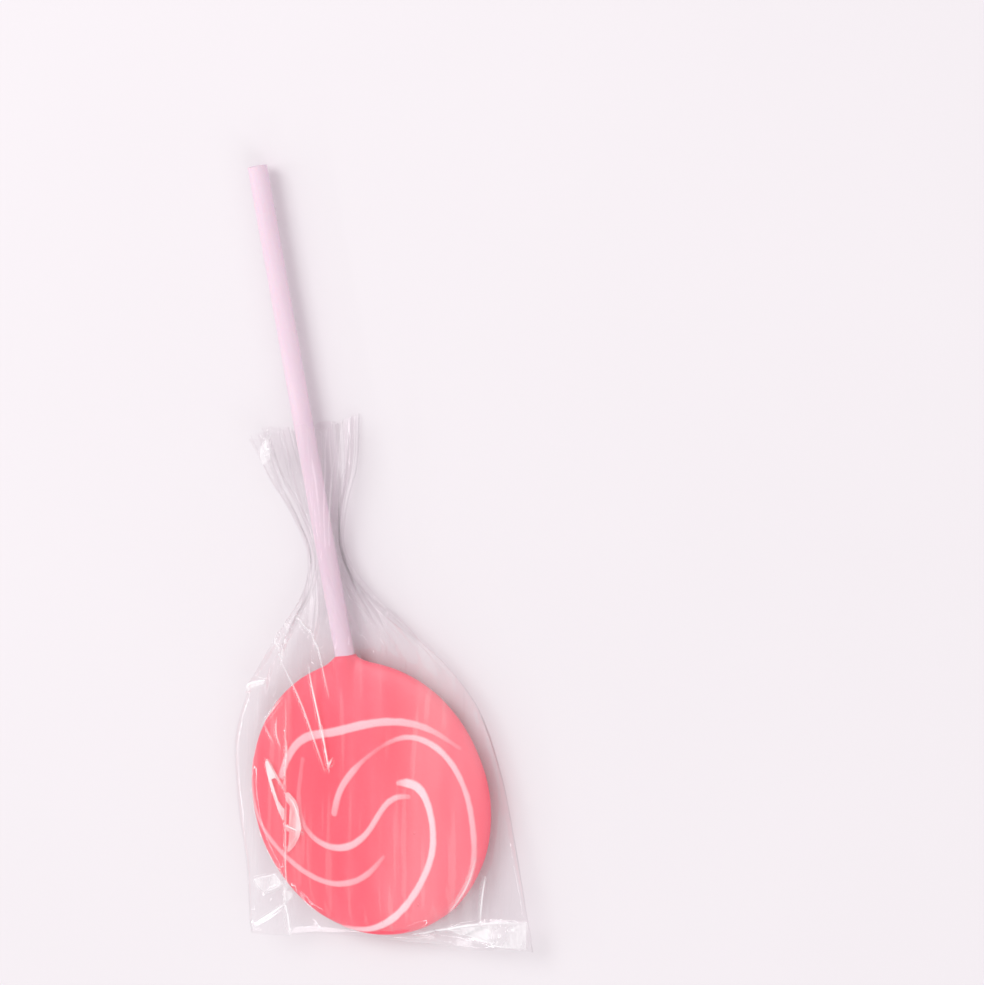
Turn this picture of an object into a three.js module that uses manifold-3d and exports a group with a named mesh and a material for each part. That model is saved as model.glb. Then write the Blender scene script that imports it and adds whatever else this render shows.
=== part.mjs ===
// Swirl lollipop: a pressed disc of hard candy on a stick, in a clear film bag gathered round the stick.
// It lies on its back with the shown face up. Millimetres, +Z up. The origin is on the surface that it
// lies on, under the middle of the disc, and the stick runs along +Y.

import * as THREE from "three";
import { mergeVertices } from "three/addons/utils/BufferGeometryUtils.js";
import Module from "manifold-3d";

const wasm = await Module();
wasm.setup();

// Driving dimensions of the disc, in millimetres
const DISC_RADIUS = 25.4;
const DISC_THICKNESS = 5.0;
const EDGE_SQUARENESS = 6; // 2 would be a plain lens, and more keeps the faces flat further out
const DISC_SEGMENTS = 60;

// The white stripes stand a little proud of both faces
const STRIPE_HEIGHT = 0.2;
const STRIPE_ROOT = 0.35; // how deep a stripe's foot goes into the disc
const STRIPE_STEPS = 18;
const STRIPE_FADE = 0.3; // share of the width that is left at a stripe's two ends
const RIDGE_FOOT = 1.2; // half width of a stripe's section at its foot, as a share of the stripe's own
const RIDGE_CREST = 0.6; // and at its crest

// Candy swells round the stick where it goes in, so that the hole keeps a wall. Its radius at places along
// the stick:
const COLLAR_PLACES = [
  { at: 10, radius: 1.86 },
  { at: 16, radius: 2.44 },
  { at: 22.2, radius: 2.65 },
  { at: 25.2, radius: 2.65 },
  { at: 27.2, radius: 2.28 },
];

// Driving dimensions of the stick
const STICK_RADIUS = 1.8;
const STICK_LENGTH = 114.3;
const STICK_TIP = 116.7; // from the middle of the disc to the free end
const STICK_SIDES = 24;

// Driving dimensions of the film bag. The clearance keeps neighbouring pieces apart.
const CLEARANCE = 0.3;
const FILM_WALL = 0.35;
const PLEATS = 9;
const POINTS_PER_PLEAT = 6;
const BAG_STEP = 3.2;
const TAIL_STEP = 2.4;
const TAIL_HOLLOW_START = 50;
const END_SLANT = 0.14; // the cut end of the bag runs a little askew
const SLANT_REACH = 16;
const EAR_START = 28; // from here out, counted from the middle of the disc, the corners curl up
const EAR_REACH = 12;
const LEFT_EAR_LIFT = 2.4;
const RIGHT_EAR_LIFT = 1.2;

// Sizes that follow from these
const DISC_HALF = DISC_THICKNESS / 2;
const CAVITY_RADIUS = DISC_RADIUS + CLEARANCE;
const CAVITY_HALF = DISC_HALF + STRIPE_HEIGHT + CLEARANCE;
const SKIN_RADIUS = CAVITY_RADIUS + FILM_WALL;
const SKIN_HALF = CAVITY_HALF + FILM_WALL;
const REST_SINK = 0.05; // how much of the skin's lowest point the flat resting spot takes off
const MIDDLE_HEIGHT = SKIN_HALF - REST_SINK; // of the disc's middle plane and the stick's axis

// Each stripe of the swirl runs through points given as a share of the disc's radius and an angle from +X
// in degrees. The width in millimetres is that of its widest stretch.
const STRIPES = [
  {
    width: 1.15,
    through: [
      [0.27, -166], [0.215, 168], [0.225, 102], [0.43, 60], [0.645, 42],
      [0.765, 26], [0.847, 4], [0.9, -18], [0.965, -38], [0.99, -58],
    ],
  },
  {
    width: 1.4,
    through: [
      [0.342, 19], [0.41, 15], [0.485, 8], [0.53, -3], [0.567, -16], [0.61, -29],
      [0.672, -48], [0.744, -66], [0.858, -85], [0.949, -101], [0.985, -114],
    ],
  },
  {
    width: 1.15,
    through: [
      [0.39, 1], [0.294, 2], [0.206, -7], [0.194, -83], [0.358, -120],
      [0.483, -143], [0.55, -163], [0.55, 177], [0.54, 160], [0.565, 143],
    ],
  },
  {
    width: 1.5,
    through: [
      [0.7, 160], [0.68, 147], [0.643, 131], [0.548, 109],
      [0.56, 79], [0.66, 57], [0.79, 38], [0.92, 20],
    ],
  },
  {
    width: 1.05,
    through: [
      [0.42, -78], [0.53, -98], [0.67, -120], [0.762, -140],
      [0.852, -159], [0.94, -175], [0.975, 171], [0.985, 160],
    ],
  },
];

// The bag along the stick: half its width and half its height at a few places, and how deep its pleats are
const BAG_PLACES = [
  { at: -26.6, halfWidth: 29.4, halfHeight: 0.3, pleat: 0 },
  { at: -22, halfWidth: 29.6, halfHeight: 1.3, pleat: 0 },
  { at: -10, halfWidth: 29.2, halfHeight: 2.1, pleat: 0 },
  { at: 2, halfWidth: 28.8, halfHeight: 2.2, pleat: 0 },
  { at: 14, halfWidth: 26.6, halfHeight: 2.8, pleat: 0.015 },
  { at: 23, halfWidth: 21.2, halfHeight: 3.3, pleat: 0.04 },
  { at: 31, halfWidth: 13.4, halfHeight: 3.3, pleat: 0.07 },
  { at: 39, halfWidth: 5.8, halfHeight: 3.2, pleat: 0.09 },
  { at: 46, halfWidth: 3.1, halfHeight: 3, pleat: 0.08 },
  { at: 53, halfWidth: 4.8, halfHeight: 3.6, pleat: 0.1 },
  { at: 61, halfWidth: 8.2, halfHeight: 4.4, pleat: 0.14 },
  { at: 70, halfWidth: 10, halfHeight: 4.8, pleat: 0.18 },
];
const BAG_START = BAG_PLACES[0].at;
const BAG_END = BAG_PLACES[BAG_PLACES.length - 1].at;

// Turns a closed geometry into a solid. Shared corners are merged, and faces that shrink to a line are
// dropped.
function solidOf(geometry) {
  const bare = new THREE.BufferGeometry();
  bare.setAttribute("position", geometry.getAttribute("position"));
  bare.setIndex(geometry.getIndex());
  const welded = mergeVertices(bare);
  const corners = welded.getIndex().array;
  const kept = [];
  for (let i = 0; i < corners.length; i += 3) {
    const [a, b, c] = [corners[i], corners[i + 1], corners[i + 2]];
    if (a !== b && b !== c && c !== a) {
      kept.push(a, b, c);
    }
  }
  const triVerts = new Uint32Array(kept);
  const vertProperties = welded.getAttribute("position").array;
  return new wasm.Manifold(new wasm.Mesh({ numProp: 3, vertProperties, triVerts }));
}

// Turns a solid back into a geometry
function geometryOf(solid) {
  const mesh = solid.getMesh();
  const geometry = new THREE.BufferGeometry();
  geometry.setAttribute("position", new THREE.BufferAttribute(mesh.vertProperties, mesh.numProp));
  geometry.setIndex(new THREE.BufferAttribute(mesh.triVerts, 1));
  geometry.computeVertexNormals();
  return geometry;
}

// A closed body through rings of points that all have the same count, with a fan over each end
function loft(rings) {
  const count = rings[0].length;
  const ends = [rings[0], rings[rings.length - 1]].map((ring) => {
    const middle = new THREE.Vector3();
    ring.forEach((point) => middle.addScaledVector(point, 1 / count));
    return middle;
  });
  const places = [...rings.flat(), ...ends];
  const first = rings.length * count;
  const lastRing = (rings.length - 1) * count;
  const corners = [];
  for (let j = 0; j < count; j += 1) {
    const next = (j + 1) % count;
    for (let i = 0; i < rings.length - 1; i += 1) {
      const here = i * count;
      const beyond = here + count;
      corners.push(here + j, here + next, beyond + j);
      corners.push(here + next, beyond + next, beyond + j);
    }
    corners.push(first, next, j);
    corners.push(first + 1, lastRing + j, lastRing + next);
  }
  const geometry = new THREE.BufferGeometry();
  geometry.setFromPoints(places);
  geometry.setIndex(corners);
  return geometry;
}

// Half the thickness of a pressed disc at a distance from its middle
function halfThickness(distance, radius, half) {
  const share = Math.min(distance / radius, 1);
  return half * Math.sqrt(1 - share ** EDGE_SQUARENESS);
}

// A pressed disc with flat faces and a round edge, about the Z axis
function pressedDisc(radius, half) {
  const STEPS_FROM_FACE_TO_EDGE = [90, 74, 56, 40, 25, 11, 0];
  const angles = [
    ...STEPS_FROM_FACE_TO_EDGE.map((degrees) => -degrees),
    ...STEPS_FROM_FACE_TO_EDGE.slice(0, -1).reverse(),
  ];
  const profile = angles.map((degrees) => {
    const angle = THREE.MathUtils.degToRad(degrees);
    const spread = Math.abs(degrees) === 90 ? 0 : Math.cos(angle) ** (2 / EDGE_SQUARENESS);
    return new THREE.Vector2(radius * spread, half * Math.sin(angle));
  });
  const geometry = new THREE.LatheGeometry(profile, DISC_SEGMENTS, Math.PI / DISC_SEGMENTS);
  geometry.rotateX(Math.PI / 2);
  return solidOf(geometry);
}

// A round bar along +Y, given by how thick it is at a few places
function barAlongY(places, sides) {
  const start = places[0];
  const end = places[places.length - 1];
  const profile = [[0, start[1]], ...places, [0, end[1]]];
  const points = profile.map(([radius, at]) => new THREE.Vector2(radius, at));
  return new THREE.LatheGeometry(points, sides, Math.PI / sides);
}

// The candy round the stick, grown by an even amount all round and past its end
function collar(growth) {
  const places = COLLAR_PLACES.map(({ at, radius }) => [radius + growth, at]);
  const tip = places[places.length - 1];
  tip[1] += growth;
  return solidOf(barAlongY(places, STICK_SIDES));
}

// The hole for the stick, which runs from the stick's inner end to a place along +Y
function stickBore(end) {
  const radius = STICK_RADIUS + CLEARANCE;
  const start = STICK_TIP - STICK_LENGTH - CLEARANCE;
  return solidOf(barAlongY([[radius, start], [radius, end]], STICK_SIDES));
}

// One stripe of the swirl as a low ridge that follows one face of the disc. face is 1 for the top and -1 for
// the bottom.
function stripeRidge(stripe, face) {
  const places = stripe.through.map(([share, degrees]) => {
    const angle = THREE.MathUtils.degToRad(degrees);
    const distance = share * DISC_RADIUS;
    return new THREE.Vector3(distance * Math.cos(angle), distance * Math.sin(angle), 0);
  });
  const route = new THREE.CatmullRomCurve3(places, false, "centripetal");
  const rings = [];
  for (let i = 0; i <= STRIPE_STEPS; i += 1) {
    const along = i / STRIPE_STEPS;
    const middle = route.getPointAt(along);
    const distance = Math.hypot(middle.x, middle.y);
    const height = halfThickness(distance, DISC_RADIUS, DISC_HALF);
    middle.z = face * height;
    // The slope of the face gives the way out of it
    const share = distance / DISC_RADIUS;
    const steepness = (EDGE_SQUARENESS * share ** (EDGE_SQUARENESS - 2)) / DISC_RADIUS ** 2;
    const out = new THREE.Vector3(
      middle.x * steepness,
      middle.y * steepness,
      (2 * middle.z) / DISC_HALF ** 2,
    ).normalize();
    const side = route.getTangentAt(along).cross(out).normalize();
    const swell = Math.sqrt(Math.sin(Math.PI * along));
    const half = (stripe.width / 2) * (STRIPE_FADE + (1 - STRIPE_FADE) * swell);
    const corner = (across, up) =>
      middle.clone().addScaledVector(side, across * half).addScaledVector(out, up);
    rings.push([
      corner(-RIDGE_FOOT, -STRIPE_ROOT),
      corner(-RIDGE_CREST, STRIPE_HEIGHT),
      corner(RIDGE_CREST, STRIPE_HEIGHT),
      corner(RIDGE_FOOT, -STRIPE_ROOT),
    ]);
  }
  return solidOf(loft(rings));
}

function makeCandy() {
  const collarEnd = COLLAR_PLACES[COLLAR_PLACES.length - 1].at;
  let solid = pressedDisc(DISC_RADIUS, DISC_HALF).add(collar(0));
  for (const stripe of STRIPES) {
    for (const face of [1, -1]) {
      solid = solid.add(stripeRidge(stripe, face));
    }
  }
  solid = solid.subtract(stickBore(collarEnd + CLEARANCE));
  return geometryOf(solid);
}

function makeStick() {
  const geometry = new THREE.CylinderGeometry(STICK_RADIUS, STICK_RADIUS, STICK_LENGTH, STICK_SIDES);
  geometry.translate(0, STICK_TIP - STICK_LENGTH / 2, 0);
  return geometry;
}

// One of the bag's sizes at a place along the stick, on a smooth line through the places listed above
function bagSize(name, at) {
  const count = BAG_PLACES.length;
  const next = BAG_PLACES.findIndex((place) => place.at >= at);
  const end = next < 0 ? count - 1 : Math.max(next, 1);
  const slope = (i) => {
    const before = BAG_PLACES[Math.max(i - 1, 0)];
    const after = BAG_PLACES[Math.min(i + 1, count - 1)];
    return (after[name] - before[name]) / (after.at - before.at);
  };
  const [from, to] = [BAG_PLACES[end - 1], BAG_PLACES[end]];
  const span = to.at - from.at;
  const t = THREE.MathUtils.clamp((at - from.at) / span, 0, 1);
  const eased = t * t * (3 - 2 * t);
  const leaving = t * (1 - t) ** 2 * span * slope(end - 1);
  const arriving = t * t * (t - 1) * span * slope(end);
  return from[name] * (1 - eased) + to[name] * eased + leaving + arriving;
}

// One ring of the bag. shrink is how far it lies inside the outer face, and a ring inside stays that far
// above the surface that the part lies on.
function bagRing(at, shrink) {
  const halfWidth = bagSize("halfWidth", at);
  const halfHeight = bagSize("halfHeight", at);
  const pleat = bagSize("pleat", at);
  const count = PLEATS * POINTS_PER_PLEAT;
  const ring = [];
  for (let i = 0; i < count; i += 1) {
    const angle = (2 * Math.PI * i) / count;
    const fold = 1 + pleat * Math.sin(PLEATS * angle);
    const x = (halfWidth - shrink) * Math.cos(angle) * fold;
    const slant = END_SLANT * Math.max(0, 1 - (at - BAG_START) / SLANT_REACH);
    const y = at - slant * x;
    const earShare = THREE.MathUtils.smoothstep(Math.hypot(x, y), EAR_START, EAR_START + EAR_REACH);
    const lift = y < 0 ? earShare * (x < 0 ? LEFT_EAR_LIFT : RIGHT_EAR_LIFT) : 0;
    const z = (halfHeight - shrink) * Math.sin(angle) * fold + lift;
    const lowest = shrink > 0 ? shrink - MIDDLE_HEIGHT : -Infinity;
    ring.push(new THREE.Vector3(x, y, Math.max(z, lowest)));
  }
  return ring.reverse();
}

function bagBody(start, end, step, shrink) {
  const count = Math.ceil((end - start) / step);
  const rings = [];
  for (let i = 0; i <= count; i += 1) {
    rings.push(bagRing(start + ((end - start) * i) / count, shrink));
  }
  return solidOf(loft(rings));
}

// A block far larger than the part, whose top face is the surface that the part lies on
function belowTheFloor() {
  const SIDE = 400;
  const geometry = new THREE.BoxGeometry(SIDE, SIDE, SIDE);
  geometry.translate(0, 0, -MIDDLE_HEIGHT - SIDE / 2);
  return solidOf(geometry);
}

function makeFilm() {
  const skin = pressedDisc(SKIN_RADIUS, SKIN_HALF);
  const bag = bagBody(BAG_START, BAG_END, BAG_STEP, 0);
  const tailHollow = bagBody(TAIL_HOLLOW_START, BAG_END + CLEARANCE, TAIL_STEP, 2 * FILM_WALL);
  const solid = skin
    .add(bag)
    .subtract(pressedDisc(CAVITY_RADIUS, CAVITY_HALF))
    .subtract(collar(CLEARANCE))
    .subtract(stickBore(BAG_END + CLEARANCE))
    .subtract(tailHollow)
    .subtract(belowTheFloor());
  return geometryOf(solid);
}

function piece(name, geometry, finish) {
  const mesh = new THREE.Mesh(geometry, new THREE.MeshStandardMaterial(finish));
  mesh.name = name;
  return mesh;
}

const CANDY_FINISH = { color: 0xfd6c7e, roughness: 0.3, metalness: 0 };
const STICK_FINISH = { color: 0xf1dfee, roughness: 0.45, metalness: 0 };
const FILM_FINISH = { color: 0xf8f1f4, roughness: 0.08, metalness: 0, transparent: true, opacity: 0.3 };

const lollipop = new THREE.Group();
lollipop.name = "swirl_lollipop";
lollipop.position.z = MIDDLE_HEIGHT;
lollipop.add(piece("candy", makeCandy(), CANDY_FINISH));
lollipop.add(piece("stick", makeStick(), STICK_FINISH));
lollipop.add(piece("film", makeFilm(), FILM_FINISH));
lollipop.updateMatrixWorld(true);

export default lollipop;
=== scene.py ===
# Looks of a swirl lollipop in a clear film bag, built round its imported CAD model. It makes a fine candy disc
# with a swirl, a rolled paper stick and a crinkled film, and a plain floor, soft lights and a camera.

import math

import bpy
import numpy as np
from mathutils import Matrix, Vector


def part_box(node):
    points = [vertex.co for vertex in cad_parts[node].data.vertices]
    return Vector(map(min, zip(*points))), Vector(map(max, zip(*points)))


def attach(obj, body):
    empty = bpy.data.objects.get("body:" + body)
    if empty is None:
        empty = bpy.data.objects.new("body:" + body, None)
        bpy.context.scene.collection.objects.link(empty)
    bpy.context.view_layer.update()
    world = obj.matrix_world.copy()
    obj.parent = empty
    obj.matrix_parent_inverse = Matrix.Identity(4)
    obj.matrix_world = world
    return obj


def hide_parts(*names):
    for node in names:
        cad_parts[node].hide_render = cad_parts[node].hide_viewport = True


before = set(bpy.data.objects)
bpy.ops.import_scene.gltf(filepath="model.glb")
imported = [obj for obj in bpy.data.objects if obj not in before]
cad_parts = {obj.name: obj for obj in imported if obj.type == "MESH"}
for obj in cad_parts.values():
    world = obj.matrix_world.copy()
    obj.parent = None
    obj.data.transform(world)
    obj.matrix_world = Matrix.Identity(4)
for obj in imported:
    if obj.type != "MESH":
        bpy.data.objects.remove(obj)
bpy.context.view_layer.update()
scene = bpy.context.scene

# Everything below is in millimetres unless it says otherwise, and becomes metres when a mesh is made
MM = 0.001
candy_low, candy_high = (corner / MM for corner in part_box("candy"))
stick_low, stick_high = (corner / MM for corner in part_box("stick"))
film_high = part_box("film")[1] / MM
MIDDLE_HEIGHT = (stick_low.z + stick_high.z) / 2  # of the disc's middle plane and the stick's axis

# The candy disc
DISC_RADIUS = 25.4
STRIPE_HEIGHT = 0.2
DISC_HALF = (candy_high.z - candy_low.z) / 2 - STRIPE_HEIGHT
EDGE_SQUARENESS = 6
PROFILE_SAMPLES = 20001
CANDY_RINGS = 182  # from the middle of one face over the rim to the middle of the other
CANDY_ROUND = 512
RIDGE_EDGE = (-0.35, 0.45)  # how far inside its stripe a ridge starts, and where it has its full height
OUTSIDE = -9.0  # how far inside a stripe or flap a point counts that is in none

# The candy's dents: how deep they are, how far apart, where their noise starts along the stick, and its seed
UNEVENNESS = 0.06
DENTS = {"height": UNEVENNESS, "apart": 6, "start": 31, "seed": 3}
FINE_DENTS = {"height": UNEVENNESS / 3, "apart": 2.1, "start": 17, "seed": 4}
RIM_DENTS = {"height": 0.12, "apart": 9, "start": 50, "seed": 5}
FACE_START = 40  # where the noise starts across the stick, with a minus for the back face

# The swell of candy round the stick: how thick it is along the stick, and how it leaves the disc's rim
COLLAR_RADII = [
    (8.0, 1.2), (10.0, 1.86), (16.0, 2.44), (22.2, 2.64), (25.2, 2.52), (26.4, 2.32), (27.2, 2.05),
]
COLLAR_END = candy_high.y
COLLAR_FLARE = 3.1
COLLAR_FLARE_POWER = 14
COLLAR_ROOT = 0.3  # the share of the disc's half height over which it grows out of the rim
COLLAR_BLEND = 0.5
LEAST_BLEND = 0.01

# Each stripe runs through points given as a share of the disc's radius and an angle from +X in degrees, with
# the stripe's width there and how white it is, from 0 to 1
STRIPES = [
    [
        (0.27, -166, 1.2, 0.38), (0.215, 168, 1.2, 0.52), (0.225, 102, 1.15, 0.5), (0.305, 77.3, 0.7, 0.26),
        (0.43, 60, 0.55, 0.14), (0.645, 42, 0.9, 0.58), (0.765, 26, 1.15, 0.7), (0.847, 4, 1.0, 0.54),
        (0.9, -18, 1.0, 0.48), (0.965, -38, 0.85, 0.34), (0.995, -58, 0.7, 0.22),
    ],
    [
        (0.342, 19, 0.85, 0.42), (0.41, 15, 1.6, 0.77), (0.485, 8, 1.75, 0.82), (0.53, -3, 1.4, 0.79),
        (0.567, -16, 1.25, 0.8), (0.61, -29, 1.25, 0.79), (0.672, -48, 1.2, 0.78), (0.744, -66, 1.2, 0.73),
        (0.858, -85, 1.2, 0.79), (0.949, -101, 1.1, 0.66), (0.99, -114, 0.8, 0.4),
    ],
    [
        (0.39, 1, 0.7, 0.25), (0.294, 2, 0.95, 0.55), (0.206, -7, 1.0, 0.56), (0.194, -83, 1.05, 0.57),
        (0.358, -120, 1.25, 0.62), (0.483, -143, 1.1, 0.55), (0.55, -163, 0.85, 0.3), (0.55, 177, 0.9, 0.17),
        (0.54, 160, 0.8, 0.14), (0.565, 143, 0.8, 0.13),
    ],
    [
        (0.7, 160, 1.2, 0.46), (0.68, 147, 1.4, 0.56), (0.643, 131, 1.5, 0.54), (0.548, 109, 1.5, 0.6),
        (0.56, 79, 1.5, 0.62), (0.66, 57, 1.3, 0.58), (0.79, 38, 1.1, 0.48), (0.92, 20, 0.5, 0.12),
    ],
    [
        (0.42, -78, 0.6, 0.2), (0.53, -98, 1.1, 0.42), (0.67, -120, 1.0, 0.47), (0.762, -140, 1.0, 0.44),
        (0.852, -159, 0.95, 0.42), (0.94, -175, 0.85, 0.42), (0.975, 171, 0.75, 0.34), (0.99, 158, 0.7, 0.28),
    ],
]
STRIPE_SAMPLES = 120

# The stick: a strip of paper rolled up tight, so its outer edge shows as a fine step and its end as a coil
STICK_RADIUS = (stick_high.z - stick_low.z) / 2
STICK_ROUND = 96
STICK_STATIONS = 160
PAPER_STEP = 0.05
PAPER_STEP_WIDTH = 0.03  # as a share of the way round
PAPER_EDGE_ANGLE = math.radians(205)
STICK_CHAMFER = 0.14
STICK_END_RINGS = 64
STICK_END_START = 0.02
COIL_PITCH = 0.24
COIL_DEPTH = 0.05
COIL_SHARPNESS = 3

# The film bag. Its outline is that of the CAD film. It lies on the candy with hardly any room between, and
# its back lies on the floor.
FILM_GAP = 0.14
FILM_SINK = 0.04  # how far a dent of the film may go below that
FLOOR_GAP = 0.03
DISC_EDGE = (DISC_RADIUS - 1, DISC_RADIUS + 2)  # the film leaves the disc between these distances
FILM_TOP_POINTS = 204
FILM_BACK_POINTS = 96
FINE_STEP = 0.28
TAIL_STEP = 0.42
FOLD_WAVES = 9
FILM_BLEND = 0.5
SIDE_SHARE = 0.25  # relief fades out in this share of the height, towards the bag's two sides
GATHER_REACH = (8, 36)  # the two sheets become a tube between these places
SEAL_REACH = (-0.1, 1.5)  # the sealed end opens between these, from its line
END_SLANT = 0.14
SLANT_REACH = 16.0
EAR_START = 28.0
EAR_REACH = 12.0
LEFT_EAR_LIFT = 2.4
RIGHT_EAR_LIFT = 1.2
BOX_INSET = 0.02  # how far the film stays inside the CAD film's box

# The cut edges aren't straight. The sealed end wavers along the bag and up and down, and the tail along it.
EDGE_REACH = 7.0
EDGE_SHIFT = {"height": 0.5, "apart": 8, "start": 5, "seed": 51}
EDGE_WAVE = {"height": 0.7, "apart": 7, "start": 60, "seed": 52}
TAIL_REACH = 6.0
TAIL_WAVE = {"height": 1.2, "round": 14, "seed": 41}
TAIL_CUT = 1.3

# The bag along the stick: where, half its width, half its height, and how deep its main pleats are
BAG_PLACES = [
    (-26.6, 29.4, 0.3, 0.0),
    (-22.0, 29.6, 1.3, 0.0),
    (-10.0, 29.2, 2.1, 0.0),
    (2.0, 28.8, 2.2, 0.0),
    (14.0, 26.6, 2.8, 0.015),
    (23.0, 21.2, 3.3, 0.04),
    (31.0, 13.4, 3.3, 0.07),
    (39.0, 5.8, 3.2, 0.09),
    (46.0, 3.1, 3.0, 0.08),
    (53.0, 4.8, 3.6, 0.1),
    (61.0, 8.2, 4.4, 0.14),
    (70.0, 10.0, 4.8, 0.18),
]
BAG_START = BAG_PLACES[0][0]
NECK = min(BAG_PLACES, key=lambda place: place[1])[0]  # where it is narrowest
BAG_END = BAG_PLACES[-1][0]

# Fine pleats of the gathered part: how many go round, how deep they are along the stick, where they start and
# are whole, how much their depth swings and over what length, and how they are pushed aside
PLEAT_COUNT = 26
PLEAT_DEPTHS = [(14, 0), (24, 0.3), (33, 0.75), (41, 0.6), (46, 0.38), (52, 0.5), (60, 0.6), (70, 0.7)]
PLEAT_REACH = (12, 36)
PLEAT_SWING = {"height": 0.35, "along": 16, "seed": 13}
PLEAT_WARPS = [
    {"height": 0.5, "round": 9, "along": 40, "start": 3, "seed": 11},
    {"height": 0.25, "round": 21, "along": 25, "start": 9, "seed": 12},
]

# The slack film breaks into flat facets with sharp folds between them, longer along the bag than across it
FACETS = [
    {"across": 3.4, "along": 13.0, "height": 0.3, "seed": 31},
    {"across": 1.6, "along": 6.5, "height": 0.08, "seed": 32},
]
FACET_BEND = {"height": 0.35, "across": 5, "along": 12, "start": 20, "seed": 33}
FACET_START = 40
FACETS_ON_DISC = 0.1
FACETS_LOST = 0.7  # the share that the gathering takes away, between these places
FACETS_LOST_REACH = (24, 40)
BAND_TURN = math.radians(-13.35)  # how far the bands and the long fold lie off the stick's direction

# A broad painted sheen runs over the disc, where the film is painted whiter: the way across it, how far it is
# from the middle, how far it reaches and how strong it is
SHEEN_ACROSS = (0.969, -0.248, 0.0)
SHEEN_PLACE = 13.5 * MM
SHEEN_REACH = 13.0 * MM
SHEEN = 0.08

# Creases of the film's face: how high and how wide each one's ridge is, how white it looks, which is partly
# the whitening of creased film and partly a painted glint, and the points that it runs through as seen from
# above
CREASES = [
    # The fold that runs the length of the bag
    (0.16, 0.3, 0.25, [(-12.6, 19.9), (-14.2, 12.6), (-16.4, 1.7)]),
    (0.2, 0.3, 0.4, [(-16.4, 1.7), (-19.1, -9.5), (-21.6, -18.0)]),
    (0.25, 0.32, 0.75, [(-21.0, -13.9), (-21.7, -18.5), (-22.5, -23.9)]),
    # The pair that comes down from the neck and ends in a V
    (0.24, 0.3, 0.5, [(-12.0, 26.8), (-9.9, 21.5), (-8.4, 15.0), (-6.9, 6.5)]),
    (0.28, 0.32, 0.75, [(-6.3, 25.5), (-5.8, 10.5)]),
    (0.28, 0.32, 0.8, [(-5.7, 14.5), (-5.9, 6.3)]),
    (0.2, 0.3, 0.6, [(-6.0, 6.8), (-4.9, 8.3)]),
    # Short ones near the left rim
    (0.2, 0.3, 0.45, [(-15.6, 16.4), (-16.1, 13.5), (-15.7, 11.5)]),
    (0.15, 0.3, 0.3, [(-18.8, 15.8), (-17.3, 12.5)]),
    (0.24, 0.34, 0.4, [(-19.3, 15.7), (-13.4, 20.3)]),
    (0.2, 0.3, 0.5, [(-14.1, 14.6), (-14.3, 10.9), (-15.0, 8.4), (-16.3, 2.9)]),
    (0.3, 0.36, 0.7, [(-19.5, 9.1), (-18.8, 4.8), (-17.6, -2.0)]),
    (0.22, 0.3, 0.4, [(-18.8, 9.0), (-16.4, 3.8)]),
    (0.28, 0.34, 0.75, [(-16.2, 2.7), (-14.9, 1.3), (-14.3, -0.8), (-14.1, -4.0)]),
    (0.2, 0.34, 0.75, [(-17.8, -2.9), (-14.3, -4.5)]),
    (0.2, 0.3, 0.35, [(-14.1, -3.7), (-18.1, -8.0)]),
    # The left ear
    (0.5, 0.45, 0.95, [(-28.9, -21.0), (-25.8, -19.6), (-21.8, -17.9)]),
    (0.4, 0.4, 0.5, [(-27.5, -12.8), (-22.3, -12.2)]),
    (0.3, 0.34, 0.3, [(-22.3, -12.2), (-21.2, -14.2)]),
    (0.4, 0.4, 0.4, [(-27.5, -12.8), (-26.2, -15.5)]),
    (0.4, 0.4, 0.5, [(-26.2, -15.5), (-21.2, -14.2)]),
    # The right ear and the rim above it
    (0.5, 0.45, 0.8, [(4.4, -25.5), (12.1, -24.7), (20.7, -24.3), (29.2, -24.8)]),
    (0.5, 0.42, 0.75, [(12.5, -24.9), (19.8, -27.9), (27.8, -29.5)]),
    (0.35, 0.4, 0.7, [(22.3, -15.9), (20.8, -20.1), (19.6, -24.0)]),
    (0.2, 0.3, 0.35, [(20.9, -12.5), (18.9, -16.2), (16.3, -19.2), (13.4, -21.7)]),
    (-0.4, 0.4, 0.0, [(22.5, -26.2), (25.0, -25.5), (28.8, -25.7)]),
    # The white fold at the left shoulder and the loops that hang from the neck
    (0.5, 0.5, 0.8, [(-22.4, 21.5), (-20.7, 23.1), (-17.3, 23.6)]),
    (0.35, 0.36, 0.6, [(-11.6, 36.5), (-13.3, 32.6), (-12.9, 29.4), (-12.0, 26.8)]),
    (0.35, 0.36, 0.6, [(-12.0, 26.8), (-10.7, 30.8), (-10.6, 36.5)]),
    (0.3, 0.34, 0.45, [(-8.1, 35.7), (-4.4, 31.4), (-3.0, 25.5), (-2.9, 20.0)]),
]
CREASE_SAMPLES = 40
CREASE_ENDS = 0.04  # the share of a crease at each end that isn't faded further
CREASE_SHARPNESS = 1.4
LINE_REACH = 0.6  # how far from a crease its distance is kept
FAR = 1e9
TINY = 1e-12
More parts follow.
